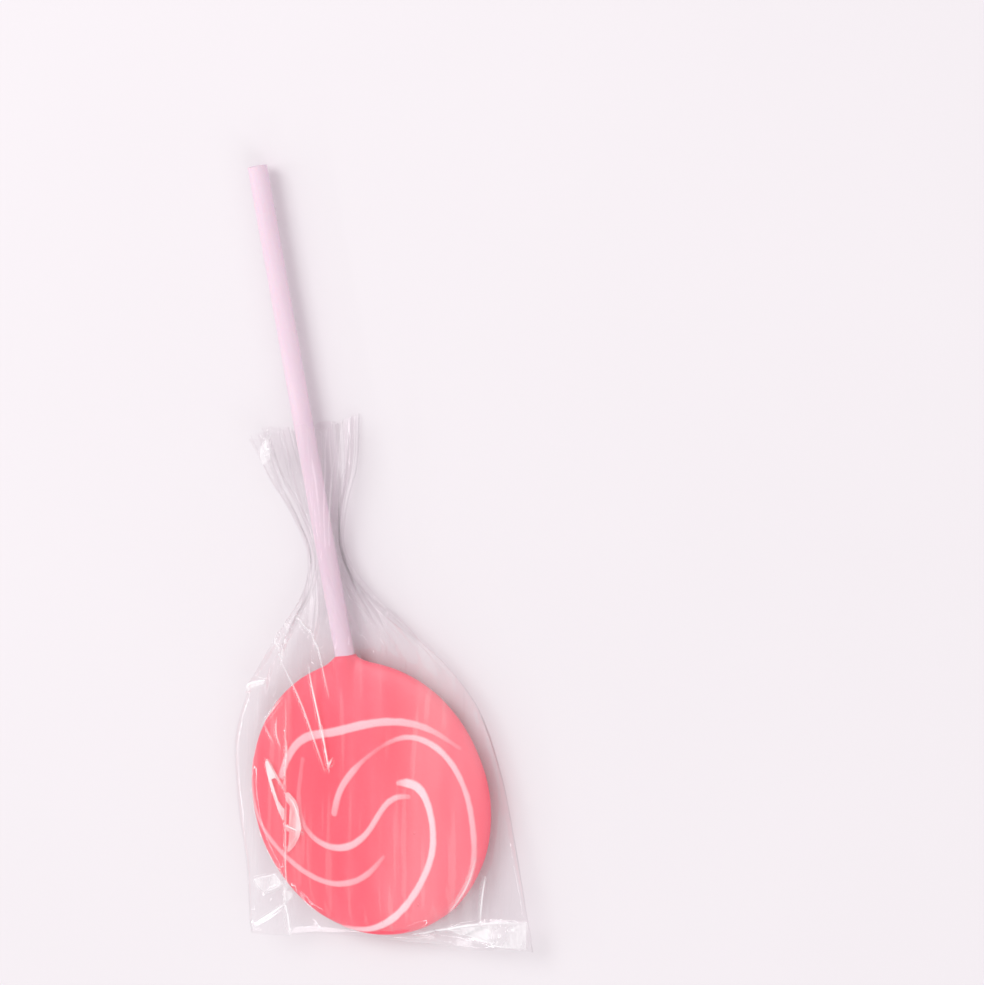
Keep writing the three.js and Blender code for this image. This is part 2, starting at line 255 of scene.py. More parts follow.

# Places where the film's face lies double: how white each looks, which is a painted reflection, and its
# outline as seen from above
FLAPS = [
    (0.55, [
        (-19.7, 8.9), (-19.0, 9.2), (-17.8, 6.5), (-17.8, 5.8), (-18.8, 5.6), (-18.2, 2.1), (-17.4, 0.2),
        (-17.0, 0.1), (-17.4, -1.8), (-17.9, -2.3), (-18.5, -0.4), (-19.2, 2.9), (-19.7, 6.6),
    ]),
    (0.45, [(-17.8, 6.5), (-16.2, 4.1), (-16.3, 3.2), (-16.7, 3.5), (-17.8, 5.7)]),
    (0.55, [
        (-16.3, 2.9), (-15.5, 3.0), (-14.2, 1.4), (-13.9, -0.1), (-14.1, -4.0), (-14.9, -5.4),
        (-16.4, -7.1), (-17.9, -8.1), (-18.4, -8.1), (-17.7, -6.8), (-17.0, -4.3), (-17.8, -4.0),
        (-17.5, -2.8), (-16.8, -3.1), (-15.8, 0.4), (-16.4, 1.4),
    ]),
    (0.42, [(-27.5, -12.8), (-22.3, -12.2), (-21.2, -14.2), (-26.2, -15.5)]),
    (0.35, [(-20.9, -15.3), (-19.4, -15.7), (-20.1, -17.0), (-21.5, -17.6)]),
    (0.5, [(12.1, -24.7), (29.4, -24.5), (28.0, -29.7), (19.8, -28.0)]),
    (0.5, [(-22.5, 21.5), (-21.3, 23.3), (-17.1, 23.9), (-17.1, 23.1), (-20.1, 22.5)]),
    (0.55, [(-4.2, 71.0), (-6.4, 68.6), (-9.0, 67.0), (-9.5, 62.5), (-7.0, 64.5)]),
]
FLAP_HEIGHT = 0.12
FLAP_EDGE = (-0.15, 0.25)  # how far inside its outline a flap starts to rise, and where it has risen

# Colours
CANDY_DARK = (0.93, 0.083, 0.138, 1)
CANDY_LIGHT = (0.96, 0.128, 0.19, 1)
STRIPE_COLOUR = (1.0, 0.83, 0.88, 1)
# White paper with a lilac tint that is a painted reflection of pink light
PAPER_AND_REFLECTION_DARK = (0.76, 0.58, 0.69, 1)
PAPER_AND_REFLECTION_LIGHT = (0.83, 0.66, 0.75, 1)
GROOVE_COLOUR = (0.42, 0.28, 0.34, 1)
# The tint of the film's mirror, and the white of its crease whitening and of its painted glints, reflections,
# streaks and sheen
FILM_SHINE = (0.97, 0.95, 0.97, 1)
FILM_CLEAR = (0.985, 0.975, 0.98, 1)
FLOOR_DARK = (0.755, 0.715, 0.745, 1)
FLOOR_LIGHT = (0.785, 0.745, 0.775, 1)
SKY_COLOUR = (1.0, 0.985, 0.99, 1)
SKY_STRENGTH = 0.8

# Roughness from where a material is smoothest to where it is roughest, and refraction
CANDY_ROUGHNESS = (0.36, 0.46)
PAPER_ROUGHNESS = (0.38, 0.52)
FILM_ROUGHNESS = (0.05, 0.11)
FLOOR_ROUGHNESS = 0.75
CANDY_IOR = 1.45
PAPER_IOR = 1.45
FILM_IOR = 1.5

# Depths of the fine relief that is in the materials alone
PIT_DEPTH = 0.12 * MM
GRAIN_DEPTH = 0.04 * MM
FIBRE_DEPTH = 0.03 * MM
WRINKLE_DEPTH = 0.1 * MM

# How many features of each texture there are to a metre
EDGE_NOISE = 420
CLOUDS = 75
BUBBLES = 330
BUBBLE_PATCHES = 140
GRAIN = 900
FIBRES = 700
FLAP_PATCHES = 260
BANDS = 150
STREAKS = 620
WRINKLES = 260
FLOOR_CLOUDS = 9

# Where a step starts and where it is whole. With four, the last two are what it goes from and to.
NOISE_SPAN = (0.3, 0.7)
CLOUD_SPAN = (0.35, 0.68)
BUBBLE_PATCH_SPAN = (0.5, 0.6)
PIT_SPAN = (0.11, 0.03)
LINE_SPAN = (0.3, 0.04)
FLAP_SPAN = (-0.06, 0.08)
FLAP_PATCH_SPAN = (0.35, 0.62, 0.45, 1.15)
BAND_SPAN = (0.4, 0.7, 0.0, 0.05)
STREAK_SPAN = (0.57, 0.68, 0.0, 0.055)

# How soft a stripe's edge is and how far it wanders, how dark the coil's grooves are, and how much of the
# film's mirror shows at a slant and straight on
EDGE_SOFTNESS = 0.24
EDGE_WANDER = 0.3
GROOVE_STRENGTH = 0.7
MIRROR_POWER = 5.0
MIRROR_SLANTED = 0.55
MIRROR_STRAIGHT = 0.065

# Light that enters the candy and the paper
CANDY_GLOW = {"Subsurface_Weight": 0.2, "Subsurface_Scale": 1.6 * MM, "Subsurface_Radius": (1.0, 0.35, 0.35)}
PAPER_GLOW = {"Subsurface_Weight": 0.1, "Subsurface_Scale": 0.6 * MM}

# Lights: name, direction from the disc, distance in metres, the way their length lies, their length and width
# in metres, and radiance
LIGHTS = [
    ("key", (-0.35, 0.85, 0.95), 1.1, (1, 0, 0), 0.7, 0.5, 3.4),
    ("fill", (0.9, -0.7, 0.9), 1.2, (0, 1, 0), 0.7, 0.7, 1.6),
    ("strip_above", (-0.5, 0.35, 0.8), 0.8, (1, 0, 0), 0.8, 0.022, 10.0),
    ("strip_left", (-0.95, -0.1, 0.36), 0.8, (0, 1, 0), 0.8, 0.018, 8.0),
    ("strip_near", (-0.15, -0.95, 0.6), 0.8, (1, 0, 0), 0.6, 0.02, 9.0),
]
FLOOR_REACH = 6.0  # metres, from the middle

# The camera: where the photograph shows the disc, and from where it looks at it
PHOTO_WIDTH = 984
PHOTO_HEIGHT = 985
DISC_PIXEL = (370.7, 799.1)
PIXELS_PER_RADIUS = 140.0
CAMERA_DISTANCE = 1.6  # metres
SENSOR = 36.0
NEAREST, FARTHEST = 0.01, 50.0  # metres
TO_CAMERA = Vector((0.549, 0.138, 0.824)).normalized()
LEVEL_AXIS = Vector((-0.244, 0.970, 0.0)).normalized()  # lies in the disc's plane and in the picture's plane
LEVEL_AXIS_IN_PICTURE = Vector((-0.373, 0.928)).normalized()


def smoothstep(low, high, value):
    t = np.clip((value - low) / (high - low), 0, 1)
    return t * t * (3 - 2 * t)


def smooth_max(a, b, reach):
    """The larger of two, rounded where they are within reach of each other."""
    share = np.clip(0.5 + (a - b) / (2 * reach), 0, 1)
    return b + (a - b) * share + reach * share * (1 - share)


def lattice(x, y, seed):
    """Random numbers from -1 to 1 at the corners of each point's unit square, and the place in the square."""
    size = 97
    table = np.random.default_rng(seed).uniform(-1, 1, (size, size))
    column, row = np.floor(x).astype(int), np.floor(y).astype(int)
    corners = [table[(column + right) % size, (row + up) % size] for up in (0, 1) for right in (0, 1)]
    return corners, x - column, y - row


def value_noise(x, y, seed):
    """Smooth noise between -1 and 1 whose bumps are one unit of x and y apart."""
    (low_left, low_right, high_left, high_right), across, along = lattice(x, y, seed)
    across, along = smoothstep(0, 1, across), smoothstep(0, 1, along)
    low = low_left * (1 - across) + low_right * across
    high = high_left * (1 - across) + high_right * across
    return low * (1 - along) + high * along


def facet_noise(x, y, seed):
    """Noise between -1 and 1 made of flat triangles, two to each unit square, with sharp folds between."""
    (low_left, low_right, high_left, high_right), across, along = lattice(x, y, seed)
    near = low_left + across * (low_right - low_left) + along * (high_left - low_left)
    far = high_right + (1 - across) * (high_left - high_right) + (1 - along) * (low_right - high_right)
    return np.where(across + along < 1, near, far)


def layer_noise(x, y, layer, start):
    """A layer of smooth noise as high and as far apart as it says. Start is where it starts in x."""
    apart = layer["apart"]
    return layer["height"] * value_noise(x / apart + start, y / apart + layer["start"], layer["seed"])


def smooth_line(places, count):
    """Points at even steps on a natural cubic curve in plan. Further columns run straight between places."""
    places = np.array(places, float)
    plan = places[:, :2]
    spans = np.linalg.norm(np.diff(plan, axis=0), axis=1)
    knots = np.concatenate([[0], np.cumsum(spans)])
    slopes = np.diff(plan, axis=0) / spans[:, None]
    system = np.eye(len(places))
    turns = np.zeros_like(plan)
    for i in range(1, len(places) - 1):
        system[i, i - 1 : i + 2] = spans[i - 1], 2 * (spans[i - 1] + spans[i]), spans[i]
        turns[i] = 6 * (slopes[i] - slopes[i - 1])
    bends = np.linalg.solve(system, turns)
    at = np.linspace(0, knots[-1], count)
    piece = np.clip(np.searchsorted(knots, at, side="right") - 1, 0, len(spans) - 1)
    span = spans[piece][:, None]
    t = (at - knots[piece])[:, None] / span
    line = plan[piece] * (1 - t) + plan[piece + 1] * t
    line += span**2 / 6 * (((1 - t) ** 3 - (1 - t)) * bends[piece] + (t**3 - t) * bends[piece + 1])
    others = [np.interp(at, knots, column) for column in places[:, 2:].T]
    return np.column_stack([line, *others])


def grid_faces(rows, columns):
    """Quads of a grid whose columns close on themselves, as rows of four corner numbers."""
    row, column = np.meshgrid(np.arange(rows - 1), np.arange(columns), indexing="ij")
    here = row * columns + column
    beside = row * columns + (column + 1) % columns
    return np.stack([here, beside, beside + columns, here + columns], -1).reshape(-1, 4)


def make_piece(name, points, faces, attributes=None):
    """A smooth mesh object from points in millimetres, measured from the middle of the disc."""
    mesh = bpy.data.meshes.new(name)
    points = (np.asarray(points, float) + (0, 0, MIDDLE_HEIGHT)) * MM
    mesh.from_pydata(points.tolist(), [], [list(face) for face in faces])
    mesh.polygons.foreach_set("use_smooth", np.ones(len(mesh.polygons), bool))
    for attribute, values in (attributes or {}).items():
        layer = mesh.attributes.new(attribute, "FLOAT", "POINT")
        layer.data.foreach_set("value", np.asarray(values, np.float32))
    mesh.update()
    piece = bpy.data.objects.new(name, mesh)
    scene.collection.objects.link(piece)
    return piece


def pressed_height(distance, radius, half):
    """Half the thickness of a pressed disc at a distance from its middle."""
    return half * np.sqrt(np.clip(1 - (distance / radius) ** EDGE_SQUARENESS, 0, 1))


def candy_profile():
    """Points and outward directions, from the middle of one face over the rim to the middle of the other."""
    angles = np.linspace(math.pi / 2, -math.pi / 2, PROFILE_SAMPLES)
    reach = DISC_RADIUS * np.clip(np.cos(angles), 0, 1) ** (2 / EDGE_SQUARENESS)
    height = DISC_HALF * np.sin(angles)
    steps = np.hypot(np.diff(reach), np.diff(height))
    length = np.concatenate([[0], np.cumsum(steps)])
    places = np.linspace(0, length[-1], CANDY_RINGS + 2)[1:-1]
    reach, height = np.interp(places, length, reach), np.interp(places, length, height)
    slope_r, slope_z = np.gradient(reach, places), np.gradient(height, places)
    size = np.hypot(slope_r, slope_z)
    return reach, height, -slope_z / size, slope_r / size


def stripe_fields(points):
    """How far inside the nearest stripe each point is, in millimetres, and how white that stripe is there."""
    inside = np.full(len(points), OUTSIDE)
    white = np.zeros(len(points))
    face_up = np.column_stack([points[:, :2], np.abs(points[:, 2])])  # both faces carry the same stripes
    for stripe in STRIPES:
        plan = []
        for share, angle, width, whiteness in stripe:
            distance, turn = share * DISC_RADIUS, math.radians(angle)
            plan.append((distance * math.cos(turn), distance * math.sin(turn), width / 2, whiteness))
        line = smooth_line(plan, STRIPE_SAMPLES)
        height = pressed_height(np.hypot(line[:, 0], line[:, 1]), DISC_RADIUS, DISC_HALF)
        route = np.column_stack([line[:, :2], height])
        for start, end, (half, whiteness) in zip(route[:-1], route[1:], line[:-1, 2:]):
            run = end - start
            away = face_up - start
            t = np.clip(away @ run / (run @ run), 0, 1)
            depth = half - np.linalg.norm(away - t[:, None] * run, axis=1)
            closer = depth > inside
            inside[closer] = depth[closer]
            white[closer] = whiteness
    return inside, white


def make_candy():
    reach, height, out_r, out_z = candy_profile()
    angle = 2 * math.pi * np.arange(CANDY_ROUND) / CANDY_ROUND
    around_x, around_y = np.cos(angle), np.sin(angle)
    reach, height, out_r, out_z = (column[:, None] for column in (reach, height, out_r, out_z))
    # The rim reaches out along the stick in a soft flare
    flare = np.exp(-((reach * around_x / COLLAR_FLARE) ** 2)) * (around_y > 0)
    grown = reach + (COLLAR_END - DISC_RADIUS) * flare * (reach / DISC_RADIUS) ** COLLAR_FLARE_POWER
    x, y = grown * around_x, grown * around_y
    z = height + 0 * x
    collar = np.interp(y, *zip(*COLLAR_RADII), left=0, right=0)
    off_rim = np.sqrt(np.clip(np.abs(z) / (COLLAR_ROOT * DISC_HALF), 0, 1))
    swell = np.sqrt(np.clip(collar**2 - x**2, 0, None)) * off_rim
    joined = smooth_max(np.abs(z), swell, COLLAR_BLEND * off_rim + LEAST_BLEND)
    z = np.sign(z) * np.where(swell > 0, joined, np.abs(z))
    points = np.stack([x, y, z], -1).reshape(-1, 3)
    out = np.stack([out_r * around_x, out_r * around_y, out_z + 0 * x], -1).reshape(-1, 3)
    inside, white = stripe_fields(points)
    ridge = STRIPE_HEIGHT * smoothstep(*RIDGE_EDGE, inside) * np.sqrt(np.abs(out[:, 2]))
    across, along, up = points.T
    face_start = np.sign(up) * FACE_START
    dents = layer_noise(across, along, DENTS, face_start) + layer_noise(across, along, FINE_DENTS, face_start)
    rim_dents = np.clip(layer_noise(across, along, RIM_DENTS, RIM_DENTS["start"]), 0, None)
    lowered = np.minimum(dents - UNEVENNESS, 0) - rim_dents * np.hypot(out[:, 0], out[:, 1])
    points = points + out * (ridge + lowered)[:, None]
    ends = np.array([[0, 0, DISC_HALF - UNEVENNESS], [0, 0, -DISC_HALF + UNEVENNESS]])
    faces = grid_faces(CANDY_RINGS, CANDY_ROUND)[:, ::-1].tolist()
    first, last = len(points), (CANDY_RINGS - 1) * CANDY_ROUND
    for j in range(CANDY_ROUND):
        k = (j + 1) % CANDY_ROUND
        faces.append((first, j, k))
        faces.append((first + 1, last + k, last + j))
    values = {
        "stripe_inside": np.append(inside, (OUTSIDE, OUTSIDE)),
        "stripe_white": np.append(white, (0, 0)),
    }
    return make_piece("swirl_candy", np.vstack([points, ends]), faces, values)


def make_stick():
    low, high = stick_low.y, stick_high.y
    angle = 2 * math.pi * np.arange(STICK_ROUND) / STICK_ROUND
    turned = np.mod(angle - PAPER_EDGE_ANGLE, 2 * math.pi) / (2 * math.pi)
    paper = PAPER_STEP * smoothstep(0, PAPER_STEP_WIDTH, turned) * (1 - turned) - PAPER_STEP
    # Each ring has a place along the stick, a share of its radius, and for an end the side that it faces
    shares = np.linspace(STICK_END_START, 1, STICK_END_RINGS) * (1 - STICK_CHAMFER / STICK_RADIUS)
    barrel = np.linspace(low + 2 * STICK_CHAMFER, high - 2 * STICK_CHAMFER, STICK_STATIONS)
    rings = [(low, share, -1) for share in shares]
    rings += [(low + STICK_CHAMFER, 1.0, 0)]
    rings += [(at, 1.0, 0) for at in barrel]
    rings += [(high - STICK_CHAMFER, 1.0, 0)]
    rings += [(high, share, 1) for share in shares[::-1]]
    points = []
    grooves = []
    for at, share, end in rings:
        radius = share * (STICK_RADIUS + paper * share)
        turn = radius / COIL_PITCH - angle / (2 * math.pi)
        groove = (0.5 + 0.5 * np.cos(2 * math.pi * turn)) ** COIL_SHARPNESS * abs(end)
        along = at - end * COIL_DEPTH * groove
        points.append(np.stack([radius * np.cos(angle), along, radius * np.sin(angle)], -1))
        grooves.append(groove)
    faces = grid_faces(len(rings), STICK_ROUND).tolist()
    count = len(rings) * STICK_ROUND
    middles = np.array([[0, low + COIL_DEPTH, 0], [0, high - COIL_DEPTH, 0]])
    for j in range(STICK_ROUND):
        k = (j + 1) % STICK_ROUND
        faces.append((count, k, j))
        faces.append((count + 1, count - STICK_ROUND + j, count - STICK_ROUND + k))
    values = {"groove": np.append(np.concatenate(grooves), (1, 1))}
    return make_piece("paper_stick", np.vstack([*points, middles]), faces, values)


def bag_sizes(at):
    """Half width, half height and pleat depth of the bag at places along the stick, on smooth lines."""
    places = np.array(BAG_PLACES)
    knots = places[:, 0]
    number = np.arange(len(places))
    before, after = places[np.maximum(number - 1, 0)], places[np.minimum(number + 1, len(places) - 1)]
    slopes = (after - before) / (after[:, :1] - before[:, :1])
    end = np.clip(np.searchsorted(knots, at), 1, len(knots) - 1)
    start = end - 1
    span = knots[end] - knots[start]
    t = np.clip((at - knots[start]) / span, 0, 1)
    eased = t * t * (3 - 2 * t)
    sizes = []
    for k in (1, 2, 3):
        value = places[start, k] * (1 - eased) + places[end, k] * eased
        value += t * (1 - t) ** 2 * span * slopes[start, k] + t * t * (t - 1) * span * slopes[end, k]
        sizes.append(value)
    return sizes


def film_skin(x, y, face):
    """Half height of the film where it lies on the candy, or under it on the floor."""
    half = np.where(face, DISC_HALF + STRIPE_HEIGHT + FILM_GAP, MIDDLE_HEIGHT - FLOOR_GAP)
    return pressed_height(np.hypot(x, y), DISC_RADIUS + FILM_GAP, half)


def line_fields(x, y, through):
    """Distance to a line, above 0 on its left and below 0 on its right, and the share of the way along it."""
    line = smooth_line(through, CREASE_SAMPLES)
    best = np.full(x.shape, FAR)
    signed = np.full(x.shape, FAR)
    along = np.zeros(x.shape)
    for i in range(len(line) - 1):
        ax, ay = line[i]
        dx, dy = line[i + 1] - line[i]
        t = np.clip(((x - ax) * dx + (y - ay) * dy) / (dx * dx + dy * dy), 0, 1)
        off_x, off_y = x - ax - t * dx, y - ay - t * dy
        distance = np.hypot(off_x, off_y)
        side = np.where(dx * off_y - dy * off_x >= 0, 1, -1)
        closer = distance < best
        best = np.where(closer, distance, best)
        signed = np.where(closer, distance * side, signed)
        along = np.where(closer, (i + t) / (len(line) - 1), along)
    return signed, along


def outline_depth(x, y, outline):
    """How far inside a closed outline each point is. It is negative outside."""
    inside = np.zeros(x.shape, bool)
    nearest = np.full(x.shape, FAR)
    for (ax, ay), (bx, by) in zip(outline, outline[1:] + outline[:1]):
        dx, dy = bx - ax, by - ay
        t = np.clip(((x - ax) * dx + (y - ay) * dy) / (dx * dx + dy * dy), 0, 1)
        nearest = np.minimum(nearest, np.hypot(x - ax - t * dx, y - ay - t * dy))
        if ay != by:
            crosses = (ay > y) != (by > y)
            inside ^= crosses & (x < ax + dx * (y - ay) / dy)
    return np.where(inside, nearest, -nearest)


def pleat_relief(at, around):
    """Height of the fine pleats. They lie unevenly, and their depth depends on the place on the stick."""
    warp = np.zeros(at.shape)
    for layer in PLEAT_WARPS:
        place = around * layer["round"], at / layer["along"] + layer["start"]
        warp += layer["height"] * value_noise(*place, layer["seed"])
    wave = np.abs(np.mod(PLEAT_COUNT * around + warp, 1) - 0.5) * 4 - 1
    swing = value_noise(around * PLEAT_COUNT, at / PLEAT_SWING["along"], PLEAT_SWING["seed"])
    strength = 1 + PLEAT_SWING["height"] * (swing - 1)
    return np.interp(at, *zip(*PLEAT_DEPTHS)) * wave * strength * smoothstep(*PLEAT_REACH, at)


def facet_relief(x, y, at):
    """Height of the flat facets that the slack film breaks into."""
    across = x * math.cos(BAND_TURN) + y * math.sin(BAND_TURN)
    along = y * math.cos(BAND_TURN) - x * math.sin(BAND_TURN)
    place = across / FACET_BEND["across"], along / FACET_BEND["along"] + FACET_BEND["start"]
    bend = FACET_BEND["height"] * value_noise(*place, FACET_BEND["seed"])
    slack = smoothstep(*DISC_EDGE, np.hypot(x, y)) * (1 - FACETS_LOST * smoothstep(*FACETS_LOST_REACH, at))
    share = FACETS_ON_DISC + (1 - FACETS_ON_DISC) * slack
    relief = np.zeros(x.shape)
    for facets in FACETS:
        place = across / facets["across"] + bend, along / facets["along"] + FACET_START
        relief += facets["height"] * share * facet_noise(*place, facets["seed"])
    return relief


def mark_relief(x, y, face):
    """Height of the creases and flaps, and the values of theirs that the film's material reads."""
    relief = np.zeros(x.shape)
    # The whiteness of a crease is partly the whitening of creased film and partly a painted glint, and that of
    # a flap a painted reflection
    line = np.full(x.shape, LINE_REACH)
    line_whitening_and_glint = np.zeros(x.shape)
    for height, width, white, through in CREASES:
        signed, along = line_fields(x, y, through)
        fade = np.sqrt(np.sin(math.pi * np.clip(along, CREASE_ENDS, 1 - CREASE_ENDS)))
        distance = np.abs(signed)
        relief += face * height * fade * np.exp(-((distance / width) ** CREASE_SHARPNESS))
        nearer = (distance < np.abs(line)) & face
        line = np.where(nearer, signed, line)
        line_whitening_and_glint = np.where(nearer, white * fade, line_whitening_and_glint)
    flap = np.full(x.shape, OUTSIDE)
    flap_painted_reflection = np.zeros(x.shape)
    for white, outline in FLAPS:
        depth = np.where(face, outline_depth(x, y, outline), OUTSIDE)
        relief += FLAP_HEIGHT * smoothstep(*FLAP_EDGE, depth)
        nearer = depth > flap
        flap = np.where(nearer, depth, flap)
        flap_painted_reflection = np.where(nearer, white, flap_painted_reflection)
    flap = np.clip(flap, -1, 1)
    return relief, {"crease": line, "crease_whitening_and_glint": line_whitening_and_glint, "flap": flap, "flap_painted_reflection": flap_painted_reflection}


def film_grid():
    """Places along the bag, one a row, and shares of the way round, one a column: first face, then back."""
    fine_count = int((NECK - BAG_START) / FINE_STEP)
    tail_count = int((BAG_END - NECK) / TAIL_STEP)
    at = np.concatenate([
        np.linspace(BAG_START, NECK, fine_count, endpoint=False),
        np.linspace(NECK, BAG_END, tail_count),
    ])
    face = np.arange(FILM_TOP_POINTS) / FILM_TOP_POINTS / 2
    back = 0.5 + np.arange(FILM_BACK_POINTS) / FILM_BACK_POINTS / 2
    return np.broadcast_arrays(at[:, None], np.concatenate([face, back])[None, :])


def film_base(at, around, face):
    """The bag's smooth form. It is two sheets round the disc and a gathered tube round the stick."""
    width, height, pleat = bag_sizes(at)
    height = height * smoothstep(*SEAL_REACH, at - BAG_START)
    sheet = np.where(face, 1 - 4 * around, 4 * around - 3)
    gathered = smoothstep(*GATHER_REACH, at)
    across = sheet * (1 - gathered) + np.cos(2 * math.pi * around) * gathered
    up = np.sqrt(np.clip(1 - across**2, 0, 1))
    fold = 1 + pleat * np.sin(FOLD_WAVES * 2 * math.pi * around)
    x = width * across * fold
    y = at - END_SLANT * np.clip(1 - (at - BAG_START) / SLANT_REACH, 0, 1) * x
    z = smooth_max(height * up * fold, film_skin(x, y, face), FILM_BLEND * up + LEAST_BLEND)
    z = z * np.where(face, 1, -1)
    ear = smoothstep(EAR_START, EAR_START + EAR_REACH, np.hypot(x, y)) * (y < 0)
    z = z + ear * np.where(x < 0, LEFT_EAR_LIFT, RIGHT_EAR_LIFT)
    near_edge = 1 - smoothstep(BAG_START, BAG_START + EDGE_REACH, at)
    shift, wave = (
        layer["height"] * value_noise(x / layer["apart"] + layer["start"], 0 * x, layer["seed"])
        for layer in (EDGE_SHIFT, EDGE_WAVE)
    )
    return np.stack([x, y + shift * near_edge, z + wave * near_edge], -1), smoothstep(0, SIDE_SHARE, up)


def make_film():
    at, around = film_grid()
    face = around < 0.5
    base, off_sides = film_base(at, around, face)
    x, y, z = np.moveaxis(base, -1, 0)
    run_along = np.gradient(base, axis=0)
    run_around = np.roll(base, -1, 1) - np.roll(base, 1, 1)
    out = np.cross(run_around, run_along)
    out /= np.linalg.norm(out, axis=-1, keepdims=True) + TINY
    inward = (out * np.stack([x, 0 * y, z], -1)).sum(-1, keepdims=True) < 0
    out = np.where(inward, -out, out)
    marks, values = mark_relief(x, y, face)
    relief = pleat_relief(at, around) + facet_relief(x, y, at) + marks
    points = base + out * (relief * off_sides)[..., None]
    tail = TAIL_WAVE["height"] * value_noise(around * TAIL_WAVE["round"], 0 * at, TAIL_WAVE["seed"])
    points[..., 1] += smoothstep(BAG_END - TAIL_REACH, BAG_END, at) * (tail - TAIL_CUT)
    # The film stays on the candy, on the floor and inside the CAD film's box
    over_candy = face & (np.hypot(x, y) < DISC_EDGE[0])
    least = np.where(over_candy, film_skin(x, y, face) - FILM_SINK, FLOOR_GAP - MIDDLE_HEIGHT)
    points[..., 2] = np.maximum(points[..., 2], least)
    highest = film_high.z - MIDDLE_HEIGHT - BOX_INSET
    excess = max(0, 1 - highest / points[..., 2].max())
    points[..., 2] *= 1 - excess * smoothstep(NECK, BAG_END, at)
    side = film_high.x - BOX_INSET
    points[..., 0] = np.clip(points[..., 0], -side, side)
    values = {name: value.ravel() for name, value in values.items()}
    return make_piece("film_bag", points.reshape(-1, 3), grid_faces(*at.shape), values)


class Shader:
    """Short ways to write a node material."""

    def __init__(self, name):
        self.material = bpy.data.materials.new(name)
        self.material.use_nodes = True
        self.tree = self.material.node_tree
        self.surface = self.tree.nodes["Principled BSDF"]
        self.output = self.tree.nodes["Material Output"]

    def node(self, kind, settings=None, **inputs):
        """A node. An input goes by its name, with _ for a space, or by its number after an i."""
        made = self.tree.nodes.new(kind)
        for name, value in (settings or {}).items():
            setattr(made, name, value)
        for name, value in inputs.items():
            self.feed(made, int(name[1:]) if name[1:].isdigit() else name.replace("_", " "), value)
        return made

    def feed(self, node, socket, value):
        if isinstance(value, bpy.types.NodeSocket):
            self.tree.links.new(value, node.inputs[socket])
        else:
            node.inputs[socket].default_value = value

    def math(self, operation, *values, clamp=False):
        settings = {"operation": operation, "use_clamp": clamp}
        inputs = {f"i{number}": value for number, value in enumerate(values)}
        return self.node("ShaderNodeMath", settings, **inputs).outputs[0]

    def value(self, name):
        return self.node("ShaderNodeAttribute", {"attribute_name": name}).outputs["Fac"]

    def place(self, stretch=(1, 1, 1), turn=0.0):
        """Places on the object for a texture whose features are stretched, and turned about the vertical."""
        spot = self.node("ShaderNodeTexCoord").outputs["Object"]
        inputs = {"Vector": spot, "Scale": stretch, "Rotation": (0, 0, turn)}
        return self.node("ShaderNodeMapping", {"vector_type": "TEXTURE"}, **inputs).outputs[0]

    def noise(self, scale, detail=3.0, **how):
        inputs = {"Vector": self.place(**how), "Scale": scale, "Detail": detail}
        return self.node("ShaderNodeTexNoise", **inputs).outputs["Fac"]

    def step(self, value, low, high, to_low=0.0, to_high=1.0):
        settings = {"interpolation_type": "SMOOTHSTEP"}
        node = self.node("ShaderNodeMapRange", settings, Value=value, i1=low, i2=high, i3=to_low, i4=to_high)
        return node.outputs[0]

    def mix(self, share, a, b):
        node = self.node("ShaderNodeMix", {"data_type": "RGBA"}, i0=share, i6=a, i7=b)
        return node.outputs[2]

    def bump(self, height, distance, **more):
        return self.node("ShaderNodeBump", Height=height, Distance=distance, **more).outputs[0]

    def set(self, **inputs):
        for name, value in inputs.items():
            self.feed(self.surface, name.replace("_", " "), value)


def candy_material():
    shader = Shader("boiled_sugar")
    uneven = shader.noise(EDGE_NOISE, 4)
    wander = shader.math("MULTIPLY_ADD", uneven, EDGE_WANDER, -EDGE_WANDER / 2)
    edge = shader.math("ADD", shader.value("stripe_inside"), wander)
    stripe = shader.step(edge, -EDGE_SOFTNESS, EDGE_SOFTNESS)
    stripe = shader.math("MULTIPLY", stripe, shader.value("stripe_white"))
    clouds = shader.step(shader.noise(CLOUDS, 3, stretch=(1, 2.2, 1)), *CLOUD_SPAN)
    colour = shader.mix(stripe, shader.mix(clouds, CANDY_DARK, CANDY_LIGHT), STRIPE_COLOUR)
    # Burst bubbles leave small pits, which come in patches
    bubbles = shader.node("ShaderNodeTexVoronoi", Vector=shader.place(), Scale=BUBBLES).outputs["Distance"]
    patches = shader.step(shader.noise(BUBBLE_PATCHES), *BUBBLE_PATCH_SPAN)
    pits = shader.math("MULTIPLY", shader.step(bubbles, *PIT_SPAN), patches)
    grain = shader.bump(shader.noise(GRAIN, 5), GRAIN_DEPTH, Normal=shader.bump(pits, PIT_DEPTH))
    roughness = shader.step(uneven, *NOISE_SPAN, *CANDY_ROUGHNESS)
    shader.set(Base_Color=colour, Roughness=roughness, IOR=CANDY_IOR, Normal=grain, **CANDY_GLOW)
    return shader.material


def stick_material():
    shader = Shader("rolled_paper")
    fibres = shader.noise(FIBRES, 5, stretch=(1, 8, 1))
    # The lilac tint of the paper is a painted reflection of pink light
    paper = shader.mix(fibres, PAPER_AND_REFLECTION_DARK, PAPER_AND_REFLECTION_LIGHT)
    groove = shader.math("MULTIPLY", shader.value("groove"), GROOVE_STRENGTH)
    colour = shader.mix(groove, paper, GROOVE_COLOUR)
    roughness = shader.step(fibres, *NOISE_SPAN, *PAPER_ROUGHNESS)
    relief = shader.bump(fibres, FIBRE_DEPTH)
    shader.set(Base_Color=colour, Roughness=roughness, IOR=PAPER_IOR, Normal=relief, **PAPER_GLOW)
    return shader.material


